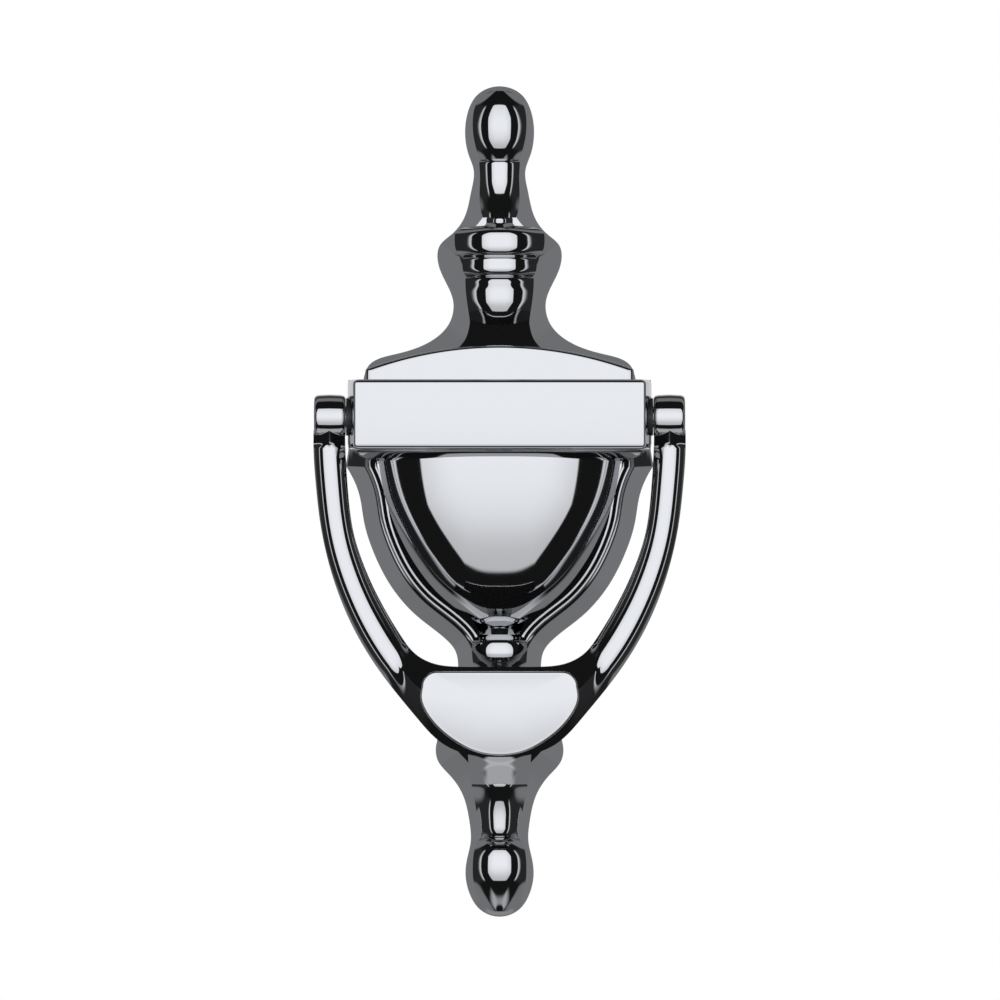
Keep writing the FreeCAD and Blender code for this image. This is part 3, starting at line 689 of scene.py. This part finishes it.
def make_core():
    """The cored recess in the plate's back."""
    right = [(0.0, CORE_HIGH), (CORE_HALF, CORE_HIGH), (CORE_HALF, CORE_LOW)]
    right += arc_points(right[-1], CORE_SHOULDER, (0.0, CORE_FOOT), 30)
    outline = soften(right, CORE_ROUND, corner=30.0)
    whole = np.vstack((outline, mirrored(outline[-2:0:-1], [0])))
    rows = [[(0.0, CORE_CENTRE, CORE_LEVELS[0][0])] * len(whole)]
    for depth, size in CORE_LEVELS:
        rows.append([(x * size, CORE_CENTRE + (z - CORE_CENTRE) * size, depth) for x, z in whole])
    return solid("core", sheet(np.array(rows), round_columns=True))


def make_backplate():
    """The plate casting: chromed in front, left as cast behind."""
    plate = union("backplate_casting", [
        make_flange(), make_bowl(), *make_upper_finial(), *make_lower_finial(), make_lid(),
        make_bar(), make_cornice(), make_spacers(), make_boss(),
    ])
    combine(plate, make_core(), "DIFFERENCE")
    finish(plate, [CHROME, CAST], "plate", ["backplate"])
    for face in plate.data.polygons:
        place = face.center / MM
        in_core = (abs(place.x) < CORE_HALF + 0.5 and CORE_FOOT - 1 < place.z < CORE_HIGH + 0.3
                   and place.y > -CORE_LEVELS[-1][0] - 0.2)
        if face.normal.y > 0.7 or (in_core and face.normal.y > -0.2):
            face.material_index = 1
    return plate


# ---------------------------------------------------------------- knocker

# Matching points on the knocker's outer and inner edges: (outer x, height, inner x, height).
ARM_EDGES = [
    (43.4, 19.8, 36.1, 19.8), (43.5, 12.0, 36.05, 12.0), (43.0, 4.5, 35.6, 4.5),
    (41.9, -5.0, 34.7, -4.3), (38.9, -17.8, 32.2, -13.6), (34.2, -29.4, 28.3, -22.4),
    (27.4, -40.4, 22.9, -31.6), (19.2, -50.6, 18.2, -36.6), (13.4, -56.4, 13.2, -38.3),
    (7.2, -59.0, 7.0, -38.6), (0.0, -59.6, 0.0, -38.6),
]
ARM_BACK = 8.0
ARM_SIDE = 6.0
ARM_LEAN = 0.10
# The ridge's section, as roof_section takes it.
ARM_SHARPNESS = 0.6
ARM_STEEPNESS = 1.05
# How full the arm's rounded front is, by the height of the middle of the arm.
ARM_FULLNESS = [(20.0, 0.1), (16.0, 0.1), (15.0, 1.0), (-60.0, 1.0)]
# How far it has turned from a rounded ridge into a plain roof, under the eye and beside the pad.
ARM_TURN = [(20.0, 1.0), (13.8, 1.0), (12.4, 0.0), (-36.5, 0.0), (-41.5, 1.0), (-60.0, 1.0)]
# The roof's slope and its most height.
ARM_SLOPE = 0.62
ARM_ROOF = 5.5


def step_between(places, value):
    """A value read from rows of (place, value), highest first, easing from one to the next."""
    for (high, first), (low, last) in zip(places, places[1:]):
        if high >= value >= low:
            t = (high - value) / (high - low)
            t = t * t * (3 - 2 * t)
            return first * (1 - t) + last * t
    return places[-1][1]


def make_arms():
    """Both arms and the pad's base, leaning away from the door."""
    half = half_of_symmetric(ARM_EDGES, [0, 2], 500)
    q, rise = roof_section(34, ARM_SHARPNESS, ARM_STEEPNESS)
    across = np.concatenate(((1 - q) / 2, (1 + q[-2::-1]) / 2))
    up = np.concatenate((rise, rise[-2::-1]))
    right = []
    for outer_x, outer_z, inner_x, inner_z in half:
        width = math.hypot(outer_x - inner_x, outer_z - inner_z)
        middle = (outer_z + inner_z) / 2
        full = step_between(ARM_FULLNESS, middle)
        turn = step_between(ARM_TURN, middle)
        ridge = up * width / 2 * full
        roof = np.minimum(ARM_SLOPE * width * np.minimum(across, 1 - across), ARM_ROOF)
        front = ARM_BACK + ARM_SIDE + ridge * (1 - turn) + roof * turn
        places = np.concatenate(([0.0], across, [1.0]))
        depths = np.concatenate(([ARM_BACK], front, [ARM_BACK]))
        x = outer_x * (1 - places) + inner_x * places
        z = outer_z * (1 - places) + inner_z * places
        depth = depths + ARM_LEAN * (PIVOT_HEIGHT - z)
        right.append(np.column_stack((x, z, depth)))
    right = np.array(right)
    left = right[-2::-1] * (-1, 1, 1)
    whole = np.concatenate((right, left))
    first = whole[:1].mean(axis=1, keepdims=True).repeat(whole.shape[1], axis=1)
    last = whole[-1:].mean(axis=1, keepdims=True).repeat(whole.shape[1], axis=1)
    return solid("arms", sheet(np.concatenate((first, whole, last)), round_columns=True))


PAD_TOP = -39.5
PAD_CORNER = 3.6
PAD_SIDE = [
    (18.2, PAD_TOP - PAD_CORNER), (18.5, -45.4), (17.4, -48.8), (14.8, -52.3), (10.1, -56.1),
    (4.7, -58.6), (0.0, -59.2),
]
PAD_DEPTH = 28.6
PAD_CROWN = 1.2
PAD_ROUND = 0.6
PAD_BACK = 15.0
PAD_CENTRE = (0.0, -48.0)


def pad_outline():
    """The pad's D-shaped edge, clockwise from the middle of its top."""
    side = half_of_symmetric(PAD_SIDE, [0], 90)
    edge = PAD_SIDE[0][0]
    short = PAD_CORNER * (1 - math.sqrt(0.5))
    corner = arc_points((edge - PAD_CORNER, PAD_TOP), (edge - short, PAD_TOP - short), PAD_SIDE[0], 12)
    top = [(x, PAD_TOP) for x in np.linspace(0, edge - PAD_CORNER, 20)]
    half = np.vstack((top, corner, side[1:]))
    return np.vstack((half, mirrored(half[-2:0:-1], [0])))


def inset_line(line, distance):
    """A closed clockwise line moved inwards."""
    along = np.roll(line, -1, axis=0) - np.roll(line, 1, axis=0)
    along /= np.linalg.norm(along, axis=1)[:, None]
    inward = np.column_stack((along[:, 1], -along[:, 0]))
    return line + inward * distance


def make_pad():
    """The striking pad: upright sides, a rounded rim and a softly crowned face."""
    outline = pad_outline()
    grid = [np.column_stack((outline, np.full(len(outline), PAD_BACK)))]
    for depth, inset in quarter(PAD_ROUND, PAD_DEPTH, -1, 10)[::-1]:
        ring = inset_line(outline, inset)
        grid.append(np.column_stack((ring, np.full(len(ring), depth))))
    rim = grid[-1][:, :2]
    for k in range(1, 25):
        t = k / 24
        ring = rim * (1 - t) + np.array(PAD_CENTRE) * t
        depth = PAD_DEPTH + PAD_CROWN * (1 - (1 - t) ** 2)
        grid.append(np.column_stack((ring, np.full(len(ring), depth))))
    base = grid[0].copy()
    base[:, :2] = PAD_CENTRE
    return solid("pad", sheet(np.array([base] + grid), round_columns=True))


EYE_INNER, EYE_OUTER = 36.0, 43.4
EYE_RADIUS = 5.1


def make_eye(side):
    """The barrel at the top of one arm."""
    rows = [(0.0, EYE_INNER), (EYE_RADIUS - 0.5, EYE_INNER), (EYE_RADIUS, EYE_INNER + 0.7),
            (EYE_RADIUS + 0.15, (EYE_INNER + EYE_OUTER) / 2), (EYE_RADIUS, EYE_OUTER - 0.7),
            (EYE_RADIUS - 0.5, EYE_OUTER), (0.0, EYE_OUTER)]
    rows = soften(rows, 0.6, corner=5.0)
    return solid("eye", cross_rings([(r, side * x) for r, x in rows], 120, PIVOT_HEIGHT, PIVOT_DEPTH))


BORE_RADIUS = 2.55
RECESS_RADIUS = 3.6
RECESS_START = 41.4
# The tool reaches past both faces of the eye.
TOOL_START, TOOL_END = 35.0, 45.0


def make_eye_tool(side):
    """The running bore and the screw head's recess in one eye."""
    rows = [(0.0, TOOL_START), (BORE_RADIUS, TOOL_START), (BORE_RADIUS, RECESS_START),
            (RECESS_RADIUS, RECESS_START), (RECESS_RADIUS, TOOL_END), (0.0, TOOL_END)]
    return solid("bore", cross_rings([(r, side * x) for r, x in rows], 72, PIVOT_HEIGHT, PIVOT_DEPTH))


ANVIL_RADIUS = 5.0
ANVIL_FACE, ANVIL_END = 13.1, 24.0


def make_anvil():
    """The flat striking face on the pad's back."""
    rows = [(0.0, ANVIL_FACE), (ANVIL_RADIUS, ANVIL_FACE), (ANVIL_RADIUS, ANVIL_END), (0.0, ANVIL_END)]
    return solid("anvil", disc_rings(rows, 72, (0.0, BUTTON_HEIGHT)))


def make_knocker():
    """The knocker casting, with its bored eyes."""
    knocker = union("knocker_casting", [
        make_arms(), make_pad(), make_anvil(), make_eye(1), make_eye(-1),
    ])
    for side in (1, -1):
        combine(knocker, make_eye_tool(side), "DIFFERENCE")
    return finish(knocker, [CHROME], "knocker", ["knocker_arm"])


def paint_fixings():
    """Steel and nylon on the small pieces, which keep their CAD shapes."""
    steel = ["strike_button"]
    steel += ["pivot_screw_" + side for side in ("left", "right")]
    steel += [kind + level for kind in ("fixing_stud_", "stud_washer_", "dome_nut_")
              for level in ("upper", "lower")]
    nylon = ["pivot_washer_" + side for side in ("left", "right")]
    for names, material in ((steel, STEEL), (nylon, NYLON)):
        for name in names:
            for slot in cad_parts[name].material_slots:
                slot.material = material


make_backplate()
make_knocker()
paint_fixings()

# ---------------------------------------------------------------- floor, studio light and camera


FLOOR_RADIUS = 0.85
FLOOR_DROP = 0.15


def make_floor():
    """A pale disc below the piece, in metres."""
    mesh = bpy.data.meshes.new("floor")
    work = bmesh.new()
    bmesh.ops.create_circle(work, cap_ends=True, radius=FLOOR_RADIUS, segments=96)
    work.to_mesh(mesh)
    work.free()
    floor = bpy.data.objects.new("floor", mesh)
    bpy.context.scene.collection.objects.link(floor)
    floor.location.z = PLATE_LOW.z - FLOOR_DROP
    mesh.materials.append(floor_finish())
    floor.visible_glossy = False


class Sums:
    """Short arithmetic in the world's node tree."""

    def __init__(self, tree):
        self.tree = tree

    def do(self, operation, *values):
        """One sum of numbers and other sums' results."""
        node = self.tree.nodes.new("ShaderNodeMath")
        node.operation = operation
        for socket, value in zip(node.inputs, values):
            if isinstance(value, (int, float)):
                socket.default_value = value
            else:
                self.tree.links.new(value, socket)
        return node.outputs[0]

    def product(self, first, *others):
        """Several values multiplied together."""
        for other in others:
            first = self.do("MULTIPLY", first, other)
        return first

    def total(self, first, *others):
        """Several values added up."""
        for other in others:
            first = self.do("ADD", first, other)
        return first

    def ramp(self, value, low, high, start=0.0, end=1.0):
        """A soft step of a value from low to high."""
        node = self.tree.nodes.new("ShaderNodeMapRange")
        node.interpolation_type = "SMOOTHSTEP"
        self.tree.links.new(value, node.inputs["Value"])
        node.inputs["From Min"].default_value = low
        node.inputs["From Max"].default_value = high
        node.inputs["To Min"].default_value = start
        node.inputs["To Max"].default_value = end
        return node.outputs["Result"]


# The studio, by direction. Angles are degrees from straight out towards the viewer; the rows give
# (from, to, value before, value after) of a soft step.
BOX_EDGE = (0.9, 0.96, 1.0, 0.0)
BOX_GLOW = (0.2, 0.9, 1.45, 1.2)
BOX_TILT = (-0.62, 0.05, 0.68, 1.0)
STRIP_SIDE = (0.1, 0.35, 0.0, 1.0)
STRIP_START = (68.0, 69.5, 0.0, 1.0)
STRIP_FADE = (70.0, 74.5, 0.95, 0.02)
CARD_PLACE = (-0.8, -0.6, 1.0, 0.0)
CARD_START = (64.0, 67.5, 0.0, 0.6)
CARD_END = (88.0, 95.0, 1.0, 0.0)
# How much the card narrows with distance to the side.
CARD_TAPER = 0.4
SURROUND_START = (86.0, 91.0, 0.0, 0.26)
SURROUND_END = (105.0, 125.0, 1.0, 0.08)
BEHIND = (130.0, 156.0, 0.0, 0.7)
DARKNESS = 0.012
LIGHT_TINT = (0.985, 0.995, 1.02)


def large_light(sums, x, z, ahead):
    """An eight-sided soft light in front, brightest in the middle and dimmer below."""
    forward = sums.do("MAXIMUM", ahead, 0.001)
    u = sums.do("DIVIDE", x, forward)
    v = sums.do("DIVIDE", sums.do("ABSOLUTE", z), forward)
    diagonal = sums.product(sums.total(u, v), math.sqrt(0.5))
    reach = sums.do("MAXIMUM", sums.do("MAXIMUM", u, v), diagonal)
    return sums.product(sums.ramp(reach, *BOX_EDGE), sums.ramp(reach, *BOX_GLOW),
                        sums.ramp(z, *BOX_TILT))


def side_strips(sums, x, z, angle):
    """A narrow light at each side."""
    beside = sums.do("SUBTRACT", x, sums.do("ABSOLUTE", z))
    return sums.product(sums.ramp(angle, *STRIP_START), sums.ramp(angle, *STRIP_FADE),
                        sums.ramp(beside, *STRIP_SIDE))


def low_card(sums, x, z, angle):
    """A dimmer card below."""
    place = sums.total(z, sums.product(x, CARD_TAPER))
    return sums.product(sums.ramp(angle, *CARD_START), sums.ramp(angle, *CARD_END),
                        sums.ramp(place, *CARD_PLACE))


def make_world():
    """A dark room: a large light in front, side strips, a low card, a grey surround and some light
    from behind. What the camera sees directly is plain white."""
    world = bpy.data.worlds.new("studio")
    bpy.context.scene.world = world
    world.use_nodes = True
    tree = world.node_tree
    sums = Sums(tree)
    place = tree.nodes.new("ShaderNodeTexCoord")
    parts = tree.nodes.new("ShaderNodeSeparateXYZ")
    tree.links.new(place.outputs["Generated"], parts.inputs[0])
    x, y, z = parts.outputs
    ahead = sums.product(y, -1.0)
    angle = sums.product(sums.do("ARCCOSINE", ahead), 180 / math.pi)
    wide = sums.do("ABSOLUTE", x)
    surround = sums.product(sums.ramp(angle, *SURROUND_START), sums.ramp(angle, *SURROUND_END))
    light = sums.total(
        large_light(sums, wide, z, ahead), side_strips(sums, wide, z, angle),
        low_card(sums, wide, z, angle), surround, sums.ramp(angle, *BEHIND), DARKNESS,
    )
    colour = tree.nodes.new("ShaderNodeCombineColor")
    for socket, tint in zip(colour.inputs, LIGHT_TINT):
        tree.links.new(sums.product(light, tint), socket)
    studio = tree.nodes["Background"]
    tree.links.new(colour.outputs[0], studio.inputs["Color"])
    paper = tree.nodes.new("ShaderNodeBackground")
    paper.inputs["Color"].default_value = (1.0, 1.0, 1.0, 1.0)
    path = tree.nodes.new("ShaderNodeLightPath")
    mix = tree.nodes.new("ShaderNodeMixShader")
    tree.links.new(path.outputs["Is Camera Ray"], mix.inputs[0])
    tree.links.new(studio.outputs[0], mix.inputs[1])
    tree.links.new(paper.outputs[0], mix.inputs[2])
    tree.links.new(mix.outputs[0], tree.nodes["World Output"].inputs["Surface"])


# In metres: how far the camera stands, the width that it takes in, and its small offset from the
# origin in x and height.
CAMERA_DISTANCE = 3.0
FRAMED_WIDTH = 0.23494
CAMERA_PLACE = (0.0001, 0.00035)


def make_camera():
    """A long lens looking square at the front."""
    data = bpy.data.cameras.new("camera")
    camera = bpy.data.objects.new("camera", data)
    bpy.context.scene.collection.objects.link(camera)
    data.sensor_width = 36.0
    data.lens = data.sensor_width * CAMERA_DISTANCE / FRAMED_WIDTH
    camera.location = (CAMERA_PLACE[0], -CAMERA_DISTANCE, CAMERA_PLACE[1])
    camera.rotation_euler = (math.pi / 2, 0.0, 0.0)
    bpy.context.scene.camera = camera


make_floor()
make_world()
make_camera()
bpy.context.scene.view_settings.view_transform = "Standard"
